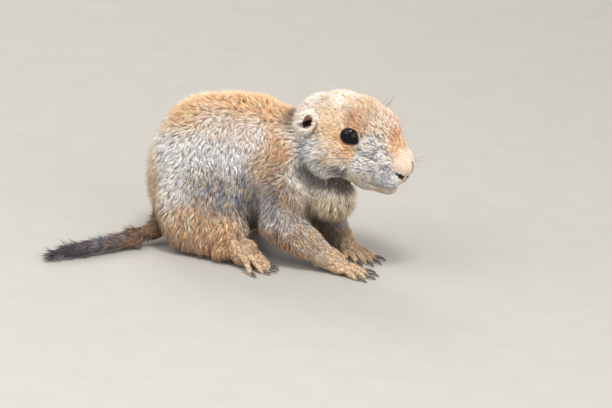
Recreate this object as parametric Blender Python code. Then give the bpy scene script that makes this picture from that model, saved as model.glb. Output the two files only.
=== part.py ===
"""A black-tailed prairie dog pup, life size, crouched on all fours with its head turned to its right.

The body is modelled whole from overlapping rounded forms, which are fused and smoothed, and is then
parted with thin cuts into head, neck, torso, tail and legs. Paws, ears, eyes, lids, claws and the
locks of the tail are added to it. The surface is the outside of the coat, so the coat's depth is
already in every size.

+X runs from rump to nose, +Z is up, and the animal's left side is +Y. The floor is z = 0.
"""

import math
import random

import bmesh
import bpy
from mathutils import Matrix, Vector

MM = 0.001
GAP = 0.3
RIGHT, LEFT = -1, 1
SIDE_NAMES = {RIGHT: "right", LEFT: "left"}
UP = Vector((0, 0, 1))

# How far the finished animal is moved, in millimetres, to stand over the middle of its own box.
CENTRING = (19.2, 1.6, 0)

# Where the head sits and how it is turned, in millimetres and degrees.
HEAD_AT = (32.7, -13.5, 57.1)
HEAD_YAW, HEAD_PITCH = -25, 10
HEAD_BACK, HEAD_UNDER = -25, -19.6
NECK_AT, NECK_YAW, NECK_PITCH = (-3, -2, 70), -16, -42

EYE_RADIUS, EYE_DEPTH = 5, 3.5
EYE_AT, EYE_AXIS = (2, 12, 6.4), (0.25, 0.93, 0.2)
LID_CORNER = 24
EAR_AT, EAR_AXIS, EAR_RADII = (-16.4, 12, 6.3), (-0.1, 1, 0.1), Vector((3.2, 2.6, 4.4))

# The legs as joints (x, y, z, radius), from the body to the paw.
FORE_JOINTS = {
    RIGHT: [
        (4, -17, 31, 12),
        (3, -21, 19.5, 10),
        (14.5, -23, 13, 8.8),
        (23, -24, 8, 6.2),
        (30, -25, 5, 4.8),
    ],
    LEFT: [
        (16, 11, 31, 12),
        (22, 12, 19, 10),
        (24.5, 11, 13.5, 9.2),
        (28.5, 8, 8.6, 7.2),
        (33.5, 3.5, 5, 4.8),
    ],
}
HIND_JOINTS = {
    RIGHT: [(-21, -17, 14, 12.5), (-28, -21, 8, 6.5), (-20, -23.5, 6.6, 5.3)],
    LEFT: [(-15, 18, 14, 12.5), (-22, 22, 8, 6.5), (-14, 25, 6.6, 5.3)],
}
THIGHS = {RIGHT: (-30, -15, 24), LEFT: (-25, 18, 24)}
THIGH_RADII = (22, 12.5, 25.6)

# The outlines of the parts that are cut free as legs, as balls (x, y, z, radius).
FORE_REGIONS = {
    RIGHT: [(4, -24, 24, 13), (1, -22, 15, 12), (20, -24, 9, 11)],
    LEFT: [(20, 17, 24, 12), (21, 14, 15, 12), (31, 7, 8, 10)],
}
HIND_REGIONS = {
    RIGHT: [(-32, -23, 29, 17), (-24, -24, 16, 16), (-38, -22, 14, 14)],
    LEFT: [(-27, 25, 29, 17), (-18, 25, 16, 16), (-33, 23, 14, 14)],
}

# A paw as its place on the floor and its yaw, and its toes from the inner to the outer one on the
# left side, each as (side offset, yaw, length, radius).
FORE_PAWS = {RIGHT: ((24, -24.5, 0), -7), LEFT: ((30.5, 6.5, 0), -46)}
HIND_PAWS = {RIGHT: ((-20, -23.5, 0), -24), LEFT: ((-14, 25, 0), 20)}
FORE_TOES = [
    (-4.8, -30, 4.8, 1.1),
    (-3.6, -13, 9.2, 1.3),
    (-1.2, -3, 10.8, 1.4),
    (1.4, 7, 10.2, 1.4),
    (3.9, 22, 8, 1.3),
]
HIND_TOES = [
    (-5, -12, 8.2, 1.35),
    (-2.6, -5, 9.8, 1.45),
    (-0.1, 1, 10.4, 1.5),
    (2.4, 9, 9.8, 1.45),
    (4.5, 34, 8.8, 1.4),
]

# The tail as joints (x, y, z, radius) of its flesh, and the locks that lie along it.
TAIL_JOINTS = [
    (-40, 2, 12.5, 9),
    (-50.5, -5, 6.6, 4.7),
    (-59, -13, 4.7, 3.1),
    (-69, -23, 4.1, 2.5),
    (-78, -31, 3.9, 2.4),
    (-86, -37.5, 3.6, 1.9),
    (-92, -42, 3, 1),
]
TAIL_AT, TAIL_YAW, TAIL_PITCH = (-50.5, -5, 6.6), 223, 22
LOCK_SEED, LOCK_RINGS, LOCKS_ROUND = 7, 9, 6


# Frames and simple forms


def frame_at(origin, yaw=0.0, pitch=0.0, roll=0.0):
    """A frame with x forward, y to the left and z up, yawed, then pitched nose down."""
    place = Matrix.Translation(Vector(origin) * MM)
    yaw_turn = Matrix.Rotation(math.radians(yaw), 4, "Z")
    pitch_turn = Matrix.Rotation(math.radians(pitch), 4, "Y")
    roll_turn = Matrix.Rotation(math.radians(roll), 4, "X")
    return place @ yaw_turn @ pitch_turn @ roll_turn


WORLD = Matrix.Identity(4)
HEAD = frame_at(HEAD_AT, HEAD_YAW, HEAD_PITCH)


def heading(yaw):
    """The level direction of a yaw in degrees."""
    return Vector((math.cos(math.radians(yaw)), math.sin(math.radians(yaw)), 0))


def ball(bm, frame, centre, radii, yaw=0.0, pitch=0.0, detail=4):
    """Adds an ellipsoid with its own turn in a frame."""
    size = Matrix.Diagonal((*(Vector(radii) * MM), 1.0))
    matrix = frame @ frame_at(centre, yaw, pitch) @ size
    bmesh.ops.create_icosphere(bm, subdivisions=detail, radius=1.0, matrix=matrix)


def limb(bm, frame, joints, detail=3):
    """Adds a chain of balls joined by cones. A joint is (x, y, z, radius)."""
    for x, y, z, radius in joints:
        ball(bm, frame, (x, y, z), (radius, radius, radius), detail=detail)
    for first, second in zip(joints, joints[1:]):
        start = Vector(first[:3]) * MM
        end = Vector(second[:3]) * MM
        along = end - start
        turn = along.to_track_quat("Z", "Y").to_matrix().to_4x4()
        bmesh.ops.create_cone(
            bm,
            cap_ends=True,
            segments=24,
            radius1=first[3] * MM,
            radius2=second[3] * MM,
            depth=along.length,
            matrix=frame @ Matrix.Translation((start + end) / 2) @ turn,
        )


def horn(bm, path, widths, depths, upwards, sides=6, cap=False):
    """A closed tube along a path, wide across 'upwards', that ends in a point or in a cap."""
    rings = []
    for i, centre in enumerate(path):
        behind, ahead = path[max(i - 1, 0)], path[min(i + 1, len(path) - 1)]
        along = (ahead - behind).normalized()
        across = along.cross(upwards).normalized()
        lift = across.cross(along)
        if i == len(path) - 1 and not cap:
            rings.append([bm.verts.new(centre)])
            break
        ring = []
        for j in range(sides):
            turn = math.tau * (j + 0.5) / sides
            offset = across * math.cos(turn) * widths[i] + lift * math.sin(turn) * depths[i]
            ring.append(bm.verts.new(centre + offset * MM))
        rings.append(ring)
    faces = [bm.faces.new(rings[0])]
    for first, second in zip(rings, rings[1:]):
        for j in range(sides):
            k = (j + 1) % sides
            if len(second) == 1:
                faces.append(bm.faces.new((first[j], first[k], second[0])))
            else:
                faces.append(bm.faces.new((first[j], first[k], second[k], second[j])))
    if cap:
        faces.append(bm.faces.new(rings[-1]))
    bmesh.ops.recalc_face_normals(bm, faces=faces)


# Cutters


def object_from(bm, name):
    """Turns a bmesh into an object of the scene."""
    mesh = bpy.data.meshes.new(name)
    bm.to_mesh(mesh)
    bm.free()
    obj = bpy.data.objects.new(name, mesh)
    bpy.context.scene.collection.objects.link(obj)
    return obj


def egg(frame, centre, radii, yaw=0.0, detail=3):
    """An ellipsoid as an object."""
    bm = bmesh.new()
    ball(bm, frame, centre, radii, yaw=yaw, detail=detail)
    return object_from(bm, "egg")


def block(frame, low, high, grow=0.0):
    """A box between two corners of a frame, grown on every side."""
    low = Vector(low) - Vector((grow, grow, grow))
    high = Vector(high) + Vector((grow, grow, grow))
    size = Matrix.Diagonal((*((high - low) * MM), 1.0))
    bm = bmesh.new()
    bmesh.ops.create_cube(bm, size=1.0, matrix=frame @ frame_at((low + high) / 2) @ size)
    return object_from(bm, "block")


def hull(balls, grow=0.0):
    """The convex hull of balls (x, y, z, radius), grown outwards."""
    bm = bmesh.new()
    for x, y, z, radius in balls:
        reach = radius + grow
        ball(bm, WORLD, (x, y, z), (reach, reach, reach), detail=3)
    bmesh.ops.delete(bm, geom=bm.edges[:] + bm.faces[:], context="EDGES_FACES")
    bmesh.ops.convex_hull(bm, input=bm.verts)
    bmesh.ops.delete(bm, geom=[v for v in bm.verts if not v.link_faces], context="VERTS")
    bmesh.ops.recalc_face_normals(bm, faces=bm.faces)
    return object_from(bm, "hull")


def below_floor():
    return block(WORLD, (-200, -200, -50), (200, 200, 0))


# Fusing, thinning and joining


def freeze(obj):
    """Applies every modifier of an object."""
    graph = bpy.context.evaluated_depsgraph_get()
    mesh = bpy.data.meshes.new_from_object(obj.evaluated_get(graph))
    obj.modifiers.clear()
    obj.data = mesh
    return obj


def fuse(obj, voxel, rounds):
    """Fuses overlapping forms into one skin and smooths its creases."""
    remesh = obj.modifiers.new("fuse", "REMESH")
    remesh.mode = "VOXEL"
    remesh.voxel_size = voxel * MM
    smooth = obj.modifiers.new("smooth", "SMOOTH")
    smooth.factor = 0.5
    smooth.iterations = rounds
    return freeze(obj)


def thin(obj, triangles):
    """Reduces a mesh to about that many triangles."""
    obj.data.calc_loop_triangles()
    decimate = obj.modifiers.new("thin", "DECIMATE")
    decimate.ratio = min(1.0, triangles / len(obj.data.loop_triangles))
    decimate.use_collapse_triangulate = True
    return freeze(obj)


def keep_largest(obj):
    """Drops every closed surface of a mesh but the largest."""
    bm = bmesh.new()
    bm.from_mesh(obj.data)
    unseen = set(bm.verts)
    shells = []
    while unseen:
        shell, front = set(), [unseen.pop()]
        while front:
            vert = front.pop()
            shell.add(vert)
            for link in vert.link_edges:
                other = link.other_vert(vert)
                if other in unseen:
                    unseen.discard(other)
                    front.append(other)
        shells.append(shell)
    if len(shells) > 1:
        largest = max(shells, key=spread)
        bmesh.ops.delete(bm, geom=[v for v in bm.verts if v not in largest], context="VERTS")
    bm.to_mesh(obj.data)
    bm.free()
    return obj


def spread(verts):
    """The sum of the sides of the box round some vertices."""
    return sum(max(v.co[i] for v in verts) - min(v.co[i] for v in verts) for i in range(3))


def combine(obj, other, operation):
    """Applies a Boolean with a second object, which is then removed."""
    boolean = obj.modifiers.new("combine", "BOOLEAN")
    boolean.operation = operation
    boolean.object = other
    freeze(obj)
    bpy.data.objects.remove(other)
    return keep_largest(obj)


def cut(obj, *cutters):
    """Takes cutters out of an object, one after the other."""
    for cutter in cutters:
        combine(obj, cutter, "DIFFERENCE")
    return obj


def join_all(obj, pieces):
    """Unites an object with a list of closed pieces, which are then removed."""
    group = bpy.data.collections.new("pieces")
    for piece in pieces:
        group.objects.link(piece)
    boolean = obj.modifiers.new("join", "BOOLEAN")
    boolean.operation = "UNION"
    boolean.operand_type = "COLLECTION"
    boolean.collection = group
    freeze(obj)
    for piece in pieces:
        bpy.data.objects.remove(piece)
    bpy.data.collections.remove(group)
    return keep_largest(obj)


def part_off(rest, name, region, **size):
    """Cuts a region out of the body as a node of its own, with the gap left round it."""
    node = bpy.data.objects.new(name, rest.data.copy())
    bpy.context.scene.collection.objects.link(node)
    combine(node, region(**size), "INTERSECT")
    cut(rest, region(grow=GAP, **size))
    return node


# The whole body


def add_trunk(bm):
    """Rump, back, shoulders, belly, chest and neck, with the spine curving a little to the right."""
    ball(bm, WORLD, (-30, 2, 34), (27, 25, 35))
    ball(bm, WORLD, (-21, 1.5, 37), (27, 25, 33.5), yaw=-3)
    ball(bm, WORLD, (-12, 1, 39), (25, 24, 31.5), yaw=-6)
    ball(bm, WORLD, (1, -1, 44), (19, 20, 23), yaw=-12)
    ball(bm, WORLD, (-8, 0, 29), (24, 20, 19), yaw=-8)
    ball(bm, WORLD, (12, -2, 32), (16, 18, 17), yaw=-15, pitch=20)
    ball(bm, WORLD, (20, -6, 31.5), (12.5, 15, 14), yaw=-15, pitch=30)
    ball(bm, WORLD, (24.5, -8.5, 29.5), (12.6, 13, 12), yaw=-20, pitch=10)
    ball(bm, WORLD, (12, -4, 51), (14, 17, 17), yaw=-18, pitch=10)


def add_legs(bm):
    for side in (RIGHT, LEFT):
        ball(bm, WORLD, THIGHS[side], THIGH_RADII, yaw=-side * 6, pitch=12)
        limb(bm, WORLD, FORE_JOINTS[side])
        limb(bm, WORLD, HIND_JOINTS[side])


def add_head(bm):
    """Cranium, brow, muzzle, lip pads, chin and cheeks, in the head's own frame."""
    ball(bm, HEAD, (-7, 0, 4.2), (17.4, 17, 16.2))
    ball(bm, HEAD, (0, 0, 5.4), (16.6, 15.4, 16))
    ball(bm, HEAD, (6.5, 0, 6), (14.4, 13.4, 14))
    ball(bm, HEAD, (12.5, 0, 1.5), (14.5, 10, 10.8), pitch=14)
    ball(bm, HEAD, (17, 0, 0), (12.2, 8.4, 9), pitch=8)
    ball(bm, HEAD, (24.1, 0, -1.7), (5.9, 5.1, 5.7))
    ball(bm, HEAD, (8, 0, -9.5), (17, 11, 9.7))
    ball(bm, HEAD, (18, 0, -13.4), (7.6, 5.6, 4.5))
    ball(bm, HEAD, (-17, 0, 1), (13, 16, 15))
    for side in (RIGHT, LEFT):
        ball(bm, HEAD, (5, side * 6.5, 10), (9, 6, 7))
        ball(bm, HEAD, (17.8, side * 4.6, -7.8), (10, 5.3, 5.4), yaw=-side * 6)
        ball(bm, HEAD, (8, side * 6.5, -5), (13, 7.5, 8.6), yaw=-side * 14)
        ball(bm, HEAD, (0, side * 8.4, -5), (13.5, 9, 11.6), yaw=-side * 4)
        ball(bm, HEAD, (-7, side * 9.6, -5), (14, 9.8, 13.4), yaw=side * 8)


def whole_body():
    """The body without paws, ears and eyes, as one closed skin that stops at the floor."""
    bm = bmesh.new()
    add_trunk(bm)
    add_legs(bm)
    limb(bm, WORLD, TAIL_JOINTS[:4])
    body = fuse(object_from(bm, "torso"), voxel=1.2, rounds=26)
    bm = bmesh.new()
    bm.from_mesh(body.data)
    add_head(bm)
    bm.to_mesh(body.data)
    bm.free()
    fuse(body, voxel=0.75, rounds=24)
    thin(body, 24000)
    return cut(body, below_floor())


# Eyes, ears and mouth


def surface_at(obj, start, towards):
    """Where a ray that comes from outside first meets an object."""
    hit, place, normal, face = obj.ray_cast(start - towards * 60 * MM, towards)
    return place


def eye_frame(head, side):
    """A frame at the eye's centre, with x forwards, z outwards, and y up on the right, down on the left."""
    turn = HEAD.to_3x3()
    axis = Vector((EYE_AXIS[0], side * EYE_AXIS[1], EYE_AXIS[2]))
    outwards = (turn @ axis).normalized()
    rough = HEAD @ (Vector((EYE_AT[0], side * EYE_AT[1], EYE_AT[2])) * MM)
    centre = surface_at(head, rough, -outwards) - outwards * EYE_DEPTH * MM
    forwards = turn @ Vector((1, 0, 0))
    forwards = (forwards - outwards * forwards.dot(outwards)).normalized()
    axes = Matrix((forwards, outwards.cross(forwards), outwards)).transposed().to_4x4()
    return Matrix.Translation(centre) @ axes


def lid_angle(turn):
    """Half the eye's opening in degrees: an almond with its point low in front."""
    off = math.remainder(turn + math.radians(LID_CORNER), math.tau)
    return 38 + 16 * math.exp(-((off / 0.36) ** 2)) + 2 * math.cos(2 * turn)


def lids(frame, side):
    """The raised rim of both lids, as a closed ring round the eye."""
    steps = 24
    section = [(0, 4.2), (0, 5.6), (4, 5.9), (11, 5.85), (24, 4.9), (24, 4.2)]
    bm = bmesh.new()
    rings = []
    for i in range(steps):
        turn = math.tau * i / steps
        ring = []
        for wider, radius in section:
            angle = math.radians(lid_angle(turn) + wider)
            across = math.sin(angle) * radius
            level = math.cos(angle) * radius
            point = Vector((across * math.cos(turn), -side * across * math.sin(turn), level))
            ring.append(bm.verts.new(frame @ (point * MM)))
        rings.append(ring)
    for first, second in zip(rings, rings[1:] + rings[:1]):
        for j in range(len(section)):
            k = (j + 1) % len(section)
            bm.faces.new((first[j], first[k], second[k], second[j]))
    bmesh.ops.recalc_face_normals(bm, faces=bm.faces)
    return object_from(bm, "lids")


def globe(frame, radius):
    return egg(frame, (0, 0, 0), (radius, radius, radius))


def shape_eye(head, side):
    """Adds the lids, cuts the socket and leaves the eyeball as its own node."""
    frame = eye_frame(head, side)
    join_all(head, [lids(frame, side)])
    corner = egg(frame, (3.4, side * 1.5, 3.9), (1.9, 1, 1.5), yaw=side * LID_CORNER)
    cut(head, globe(frame, EYE_RADIUS + GAP), corner)
    eye = globe(frame, EYE_RADIUS)
    eye.name = "eye_" + SIDE_NAMES[side]
    return eye


def shape_ear(head, side):
    """A small cupped flap, sunk in a pocket of the head, with the ear hole low at the back."""
    turn = HEAD.to_3x3()
    axis = Vector((EAR_AXIS[0], side * EAR_AXIS[1], EAR_AXIS[2]))
    rough = HEAD @ (Vector((EAR_AT[0], side * EAR_AT[1], EAR_AT[2])) * MM)
    place = surface_at(head, rough, -(turn @ axis).normalized())
    frame = Matrix.Translation(place) @ turn.to_4x4()
    ear = egg(frame, (0, side * 0.7, 0), EAR_RADII)
    cut(head, egg(frame, (0, side * 0.7, 0), EAR_RADII + Vector((GAP, GAP, GAP))))
    cut(ear, egg(frame, (0.2, side * 3, -0.3), (2.4, 2.4, 3.5), detail=2))
    cut(ear, egg(frame, (-1, side * 1, -1.8), (1.1, 2.2, 1.4), detail=2))
    ear.name = "ear_" + SIDE_NAMES[side]
    return ear


def mouth_slit():
    """A thin disc that parts the lips from the chin."""
    bm = bmesh.new()
    place = HEAD @ frame_at((20.6, 0, -12.3), pitch=5)
    bmesh.ops.create_cone(
        bm, cap_ends=True, segments=32, radius1=8.8 * MM, radius2=8.8 * MM, depth=0.5 * MM, matrix=place
    )
    return object_from(bm, "mouth")


def nostril(side):
    """A comma-shaped hollow between the nose and the lip pad."""
    path = []
    for x, y, z in ((23.9, 5.3, -4.3), (26.1, 4.1, -5.4), (28.1, 1.9, -6.7)):
        path.append(HEAD @ (Vector((x, side * y, z)) * MM))
    bm = bmesh.new()
    horn(bm, path, (0.7, 1.2, 0.9), (0.7, 1, 0.8), HEAD.to_3x3() @ UP, sides=8, cap=True)
    return object_from(bm, "nostril")


def cut_mouth(head):
    """The mouth line, the cleft of the upper lip and the two nostrils."""
    cleft = block(HEAD, (24.6, -0.25, -13.2), (32, 0.25, -6.8))
    return cut(head, mouth_slit(), cleft, nostril(RIGHT), nostril(LEFT))


# Paws


def claw(frame, start, yaw, length, radius):
    """A claw that leaves the toe tip nearly level and curves down."""
    way = heading(yaw)
    path = []
    for share, drop in ((-0.2, 0), (0.45, 0.03), (0.8, 0.14), (1, 0.27)):
        point = frame @ ((start + way * share * length - UP * drop * length) * MM)
        point.z = max(point.z, 0.3 * MM)
        path.append(point)
    thickness = [radius, radius * 0.85, radius * 0.55, 0]
    bm = bmesh.new()
    horn(bm, path, thickness, thickness, UP, sides=5)
    return object_from(bm, "claw")


def paw(name, frame, side, toes, instep, claw_size):
    """A paw with its claws. The instep is a chain of joints whose last one carries the toes."""
    bm = bmesh.new()
    limb(bm, frame, instep)
    reach, _, height, radius = instep[-1]
    ball(bm, frame, (reach - 1, 0, height * 0.8), (radius * 1.5, radius * 1.4, height * 0.72), pitch=8)
    claws = []
    for offset, yaw, length, thick in toes:
        way = heading(yaw * side)
        root = Vector((reach - 1, offset * side * 0.85, height * 0.85))
        knuckle = root + way * length * 0.6
        knuckle.z = 0.8 + height * 0.62
        tip = root + way * (length + 2)
        tip.z = thick * 0.6
        limb(bm, frame, [(*root, thick * 1.15), (*knuckle, thick), (*tip, thick * 0.84)], detail=2)
        claws.append(claw(frame, tip + way * thick * 0.5 + UP * 0.6, yaw * side, *claw_size))
    clay = fuse(object_from(bm, name), voxel=0.42, rounds=4)
    thin(clay, 620)
    cut(clay, below_floor(), block(frame, (-30, -20, -20), (GAP, 20, 20)))
    return join_all(clay, claws)


def ankle_pocket(frame):
    """The hollow in the leg that takes the back of a hind paw."""
    bm = bmesh.new()
    path = [frame @ (Vector((x, 0, z)) * MM) for x, z in ((0, 6.4), (9, 6.2))]
    horn(bm, path, (5.9, 6), (6.1, 6.7), UP, sides=24, cap=True)
    return object_from(bm, "pocket")


FORE_INSTEP = [(-2, 0, 6.4, 4.9), (3.5, 0, 5, 4.4), (7.5, 0, 3.6, 3.5)]
HIND_INSTEP = [(-2, 0, 6.6, 4.9), (5, 0, 7.8, 4.4), (10.5, 0, 7.5, 3.9)]


# The tail


def tail_at(share):
    """The tail's centre line and flesh radius, a share of the way from its root to its tip."""
    joints = TAIL_JOINTS[1:]
    at = min(share, 0.999) * (len(joints) - 1)
    i = int(at)
    point = Vector(joints[i][:3]).lerp(Vector(joints[i + 1][:3]), at - i)
    return point, joints[i][3] + (joints[i + 1][3] - joints[i][3]) * (at - i)


def tail_lock(share, turn, length, flare, width):
    """One flat tapered lock that leaves the flesh, lifts and bends back in."""
    root, radius = tail_at(share)
    along = (tail_at(share + 0.05)[0] - tail_at(share - 0.05)[0]).normalized()
    across = along.cross(UP).normalized()
    out = across * math.cos(turn) + across.cross(along) * math.sin(turn)
    path = []
    for part, lift in ((0, 0), (0.35, 0.75), (0.7, 1), (1, 0.8)):
        point = root + out * (radius * 0.45 + flare * lift) + along * length * part
        point.z = max(point.z, 0.8 - 0.4 * part)
        path.append(point * MM)
    bm = bmesh.new()
    horn(bm, path, (width * 0.8, width, width * 0.6, 0), (0.4, 0.42, 0.28, 0), out, sides=4)
    return object_from(bm, "lock")


def tail_locks():
    """Locks in rings all along the tail, ending in a pointed brush."""
    rng = random.Random(LOCK_SEED)
    locks = []
    for ring in range(LOCK_RINGS):
        for k in range(LOCKS_ROUND):
            share = 0.13 + 0.84 * ring / (LOCK_RINGS - 1) + rng.uniform(-0.025, 0.025)
            turn = math.tau * (k + 0.5 * (ring % 2)) / LOCKS_ROUND + rng.uniform(-0.25, 0.25)
            length = rng.uniform(10, 14) * (1.1 - 0.45 * share)
            flare = rng.uniform(1.1, 1.9) * (1 - 0.75 * share ** 3)
            width = rng.uniform(0.95, 1.3) * (1 - 0.35 * share)
            locks.append(tail_lock(share, turn, length, flare, width))
    return locks


def finish_tail(root):
    """Continues the parted root of the tail with its slender end and its locks."""
    bm = bmesh.new()
    limb(bm, WORLD, TAIL_JOINTS[2:])
    core = fuse(object_from(bm, "core"), voxel=0.6, rounds=3)
    thin(core, 240)
    thin(root, 70)
    join_all(root, [core])
    return join_all(root, tail_locks())


# Surfaces


COLOURS = {
    "coat_back": (0.5, 0.33, 0.19, 0.85),
    "coat_grey": (0.44, 0.39, 0.34, 0.85),
    "coat_face": (0.58, 0.46, 0.33, 0.85),
    "coat_tail": (0.09, 0.07, 0.06, 0.8),
    "paw_skin": (0.45, 0.34, 0.22, 0.7),
    "eye": (0.008, 0.007, 0.007, 0.1),
}
SURFACES = {
    "torso": "coat_back",
    "neck": "coat_back",
    "head": "coat_face",
    "ear": "coat_face",
    "foreleg": "coat_grey",
    "hindleg": "coat_grey",
    "forepaw": "paw_skin",
    "hindfoot": "paw_skin",
    "tail": "coat_tail",
    "eye": "eye",
}


def paint(obj):
    """Gives a node the plain material of its surface."""
    slot = SURFACES[obj.name.split("_")[0]]
    material = bpy.data.materials.get(slot)
    if material is None:
        material = bpy.data.materials.new(slot)
        material.use_nodes = True
        red, green, blue, roughness = COLOURS[slot]
        shader = material.node_tree.nodes["Principled BSDF"]
        shader.inputs["Base Color"].default_value = (red, green, blue, 1)
        shader.inputs["Roughness"].default_value = roughness
    obj.data.materials.clear()
    obj.data.materials.append(material)


def make_room_for_paws(body):
    """Ends each leg where its paw begins."""
    for side in (RIGHT, LEFT):
        fore = frame_at(*FORE_PAWS[side])
        hind = frame_at(*HIND_PAWS[side])
        cut(body, block(fore, (0, -12, -5), (20, 12, 14)), ankle_pocket(hind))


def add_paws():
    for side in (RIGHT, LEFT):
        name = SIDE_NAMES[side]
        paw("forepaw_" + name, frame_at(*FORE_PAWS[side]), side, FORE_TOES, FORE_INSTEP, (4.6, 0.75))
        paw("hindfoot_" + name, frame_at(*HIND_PAWS[side]), side, HIND_TOES, HIND_INSTEP, (3.6, 0.7))


def main():
    for obj in list(bpy.data.objects):
        bpy.data.objects.remove(obj)
    body = whole_body()
    make_room_for_paws(body)
    tail_frame = frame_at(TAIL_AT, TAIL_YAW, TAIL_PITCH)
    tail = part_off(body, "tail", block, frame=tail_frame, low=(0, -10, -9), high=(40, 10, 8))
    for side in (RIGHT, LEFT):
        name = SIDE_NAMES[side]
        thin(part_off(body, "foreleg_" + name, hull, balls=FORE_REGIONS[side]), 500)
        thin(part_off(body, "hindleg_" + name, hull, balls=HIND_REGIONS[side]), 500)
    head = part_off(body, "head", block, frame=HEAD, low=(HEAD_BACK, -60, HEAD_UNDER), high=(60, 60, 60))
    neck_frame = frame_at(NECK_AT, NECK_YAW, NECK_PITCH)
    neck = part_off(body, "neck", block, frame=neck_frame, low=(0, -60, -34), high=(60, 60, 60))
    thin(body, 2000)
    thin(neck, 380)
    thin(head, 2600)
    for side in (RIGHT, LEFT):
        shape_ear(head, side)
        shape_eye(head, side)
    cut_mouth(head)
    add_paws()
    finish_tail(tail)
    for obj in bpy.data.objects:
        obj.data.transform(Matrix.Translation(Vector(CENTRING) * MM))
        paint(obj)


main()
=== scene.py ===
"""The looks of the prairie dog pup: skin, coat, eyes, lids, ears, claws, whiskers, floor and light.

One skin stands for all the flesh. It is made again from the same rounded forms as the solids, but finer,
and is sunk by the depth of the coat. Tufts grow on it along the lie of the coat. Named places on the
body say what the coat is like near them, and skin and tufts read the same places.

Sizes are in millimetres and turns in degrees. x is forward, y to the animal's left and z up.
"""

import math

import bmesh
import bpy
import numpy as np
from mathutils import Matrix, Vector, kdtree, noise


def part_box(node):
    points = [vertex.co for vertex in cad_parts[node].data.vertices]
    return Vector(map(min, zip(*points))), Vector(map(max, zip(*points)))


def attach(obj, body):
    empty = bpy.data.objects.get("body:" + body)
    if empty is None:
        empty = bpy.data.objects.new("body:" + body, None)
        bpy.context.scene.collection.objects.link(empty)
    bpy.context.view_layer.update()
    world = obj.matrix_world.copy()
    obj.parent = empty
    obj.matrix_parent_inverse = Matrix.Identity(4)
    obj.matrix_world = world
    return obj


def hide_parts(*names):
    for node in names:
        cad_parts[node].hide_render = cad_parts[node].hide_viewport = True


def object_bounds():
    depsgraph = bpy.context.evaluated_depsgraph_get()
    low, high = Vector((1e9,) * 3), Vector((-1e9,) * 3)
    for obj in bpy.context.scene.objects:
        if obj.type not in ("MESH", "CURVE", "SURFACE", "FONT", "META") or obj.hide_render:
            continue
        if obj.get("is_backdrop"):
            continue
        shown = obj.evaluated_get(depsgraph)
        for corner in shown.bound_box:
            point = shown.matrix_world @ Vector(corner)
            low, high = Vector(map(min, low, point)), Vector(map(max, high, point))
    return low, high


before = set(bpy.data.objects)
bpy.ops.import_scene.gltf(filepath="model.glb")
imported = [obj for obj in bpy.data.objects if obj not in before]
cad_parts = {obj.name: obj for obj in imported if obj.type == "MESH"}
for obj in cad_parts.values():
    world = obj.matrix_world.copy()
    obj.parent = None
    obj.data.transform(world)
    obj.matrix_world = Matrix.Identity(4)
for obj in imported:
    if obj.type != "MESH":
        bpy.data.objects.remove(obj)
CAD_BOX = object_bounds()

MM = 0.001
SIDES = RIGHT, LEFT = -1, 1
SIDE_NAMES = {RIGHT: "right", LEFT: "left"}
UP = Vector((0, 0, 1))
SEED = 20
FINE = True

# The body, with the same sizes as the solids. An eye opens by so many degrees, and further at the point.
CENTRING = (19.2, 1.6, 0)
MIDLINE = 1
HEAD_AT, HEAD_YAW, HEAD_PITCH = (32.7, -13.5, 57.1), -25, 10
EYE_RADIUS, SOCKET_GAP = 5, 0.15
EYE_AXIS = (0.25, 0.93, 0.2)
EYE_OPENING, EYE_POINT, POINT_WIDTH = 42, 20, 0.36
LID_CORNER = 24
EAR_RADII = (3.2, 2.6, 4.4)
EAR_HOLE_AT = (-0.7, 0.4, -1.3)

FORE_JOINTS = {
    RIGHT: [
        (4, -17, 31, 12),
        (3, -21, 19.5, 10),
        (14.5, -23, 13, 8.8),
        (23, -24, 8, 6.2),
        (30, -25, 5, 4.8),
    ],
    LEFT: [
        (16, 11, 31, 12),
        (22, 12, 19, 10),
        (24.5, 11, 13.5, 9.2),
        (28.5, 8, 8.6, 7.2),
        (33.5, 3.5, 5, 4.8),
    ],
}
HIND_JOINTS = {
    RIGHT: [(-21, -17, 14, 12.5), (-28, -21, 8, 6.5), (-20, -23.5, 6.6, 5.3)],
    LEFT: [(-15, 18, 14, 12.5), (-22, 22, 8, 6.5), (-14, 25, 6.6, 5.3)],
}
THIGHS = {RIGHT: (-30, -15, 24), LEFT: (-25, 18, 24)}
THIGH_RADII = (22, 12.5, 25.6)
TAIL_JOINTS = [
    (-40, 2, 12.5, 9),
    (-50.5, -5, 6.6, 4.7),
    (-59, -13, 4.7, 3.1),
    (-69, -23, 4.1, 2.5),
    (-78, -31, 3.9, 2.4),
    (-86, -37.5, 3.6, 1.9),
    (-92, -42, 3, 1),
]

# A paw as its place on the floor and its yaw, and its toes from the inner to the outer one on the
# left side, each as (side offset, yaw, length, radius).
FORE_PAWS = {RIGHT: ((24, -24.5, 0), -7), LEFT: ((30.5, 6.5, 0), -46)}
HIND_PAWS = {RIGHT: ((-20, -23.5, 0), -24), LEFT: ((-14, 25, 0), 20)}
FORE_TOES = [
    (-4.8, -30, 4.8, 1.1),
    (-3.6, -13, 9.2, 1.3),
    (-1.2, -3, 10.8, 1.4),
    (1.4, 7, 10.2, 1.4),
    (3.9, 22, 8, 1.3),
]
HIND_TOES = [
    (-5, -12, 8.2, 1.35),
    (-2.6, -5, 9.8, 1.45),
    (-0.1, 1, 10.4, 1.5),
    (2.4, 9, 9.8, 1.45),
    (4.5, 34, 8.8, 1.4),
]
FORE_INSTEP = [(-2, 0, 6.4, 4.9), (3.5, 0, 5, 4.4), (7.5, 0, 3.6, 3.5)]
HIND_INSTEP = [(-2, 0, 6.6, 4.9), (5, 0, 7.8, 4.4), (10.5, 0, 7.5, 3.9)]
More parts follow.
